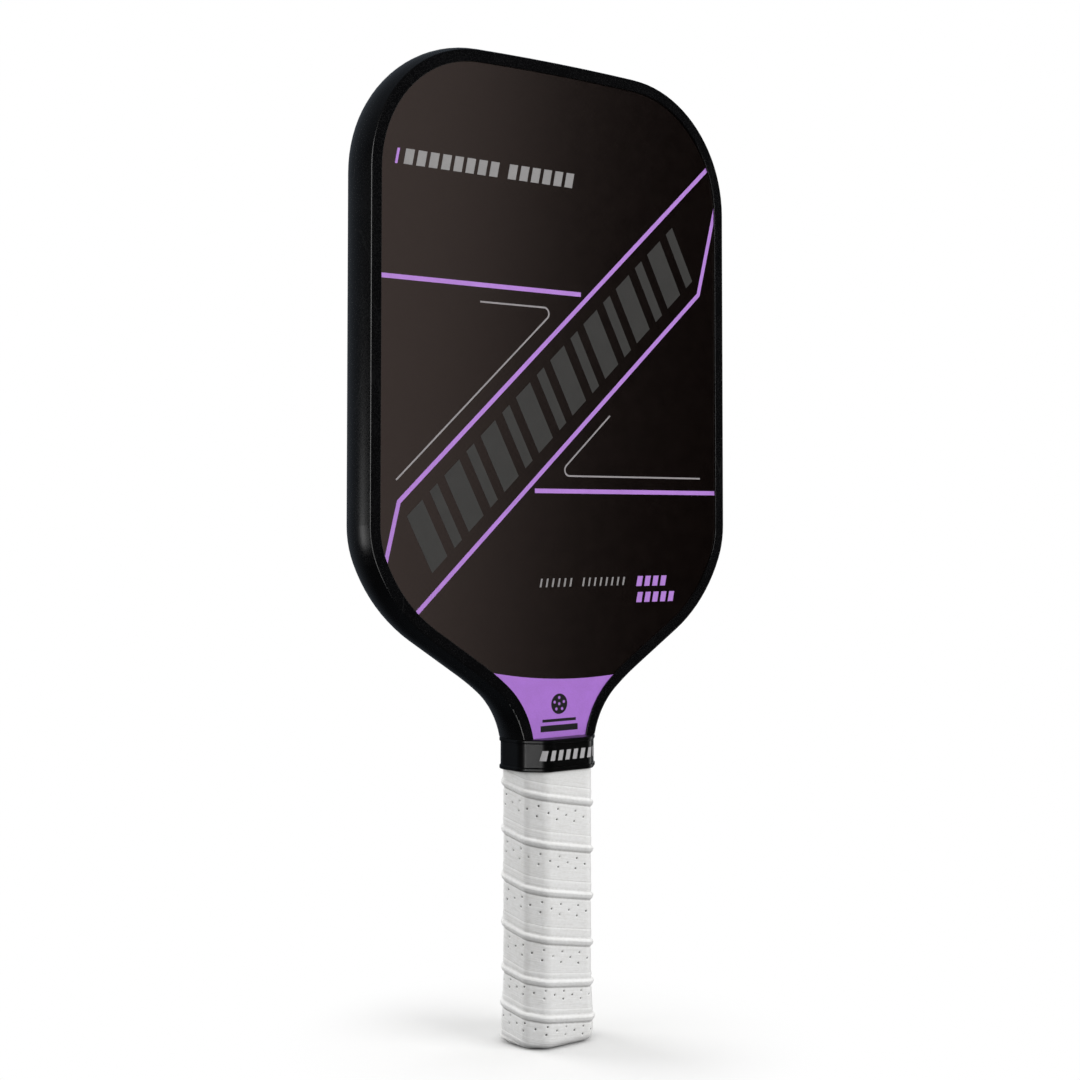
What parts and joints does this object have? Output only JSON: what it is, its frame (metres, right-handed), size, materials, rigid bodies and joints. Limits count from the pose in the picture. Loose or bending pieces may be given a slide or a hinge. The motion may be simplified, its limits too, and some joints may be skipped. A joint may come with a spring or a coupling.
{
  "type": "pickleball paddle",
  "caption": "Pickleball paddle: honeycomb core between carbon face sheets, bulged edge guard, printed diagonal stripes, rubber collar and a perforated wrap on an octagonal handle.",
  "frame": {"origin": "middle of the butt's flat underside, where the paddle stands", "axes": "+Z runs from the butt up the handle to the crown, -Y is the front face's outward normal, +X is to the right seen from the front"},
  "size_m": [0.1934, 0.0316, 0.4137],
  "materials": {
    "carbon_sheet": "satin, fine woven grit",
    "honeycomb_plastic": "translucent white",
    "glue_film": "clear amber film",
    "guard_plastic": "smooth black, semi-gloss",
    "edge_glue": "clear flexible glue",
    "shell_foam": "rigid moulded foam",
    "cap_plastic": "fine moulded texture",
    "staple_steel": "bright wire",
    "badge_vinyl": "printed vinyl disc",
    "adhesive_tape": "double-sided tape",
    "wrap_white": "soft perforated synthetic leather",
    "finish_tape": "thin vinyl tape",
    "collar_rubber": "smooth moulded rubber",
    "collar_ink": "pale ink",
    "violet_ink": "smooth ink",
    "silver_ink": "thin ink",
    "grey_ink": "thin matt ink",
    "dash_ink": "thin matt ink",
    "emblem_ink": "thin dark ink"
  },
  "bodies": {
    "root": {"honeycomb_core": "honeycomb_plastic", "edge_guard": "guard_plastic", "edge_guard_glue": "edge_glue", "butt_cap": "cap_plastic", "butt_cap_staples": "staple_steel", "butt_badge": "badge_vinyl", "grip_adhesive_tape": "adhesive_tape", "grip_wrap": "wrap_white", "grip_finish_tape": "finish_tape", "grip_collar": "collar_rubber", "collar_marks": "collar_ink", "front_face_sheet": "carbon_sheet", "front_glue_film": "glue_film", "front_handle_shell": "shell_foam", "front_violet_stripes": "violet_ink", "front_fine_lines": "silver_ink", "front_slanted_blocks": "grey_ink", "front_dash_rows": "dash_ink", "front_throat_film": "violet_ink", "front_throat_emblem": "emblem_ink", "back_face_sheet": "carbon_sheet", "back_glue_film": "glue_film", "back_handle_shell": "shell_foam", "back_violet_stripes": "violet_ink", "back_fine_lines": "silver_ink", "back_slanted_blocks": "grey_ink", "back_dash_rows": "dash_ink", "back_throat_film": "violet_ink", "back_throat_emblem": "emblem_ink"}
  },
  "joints": []
}
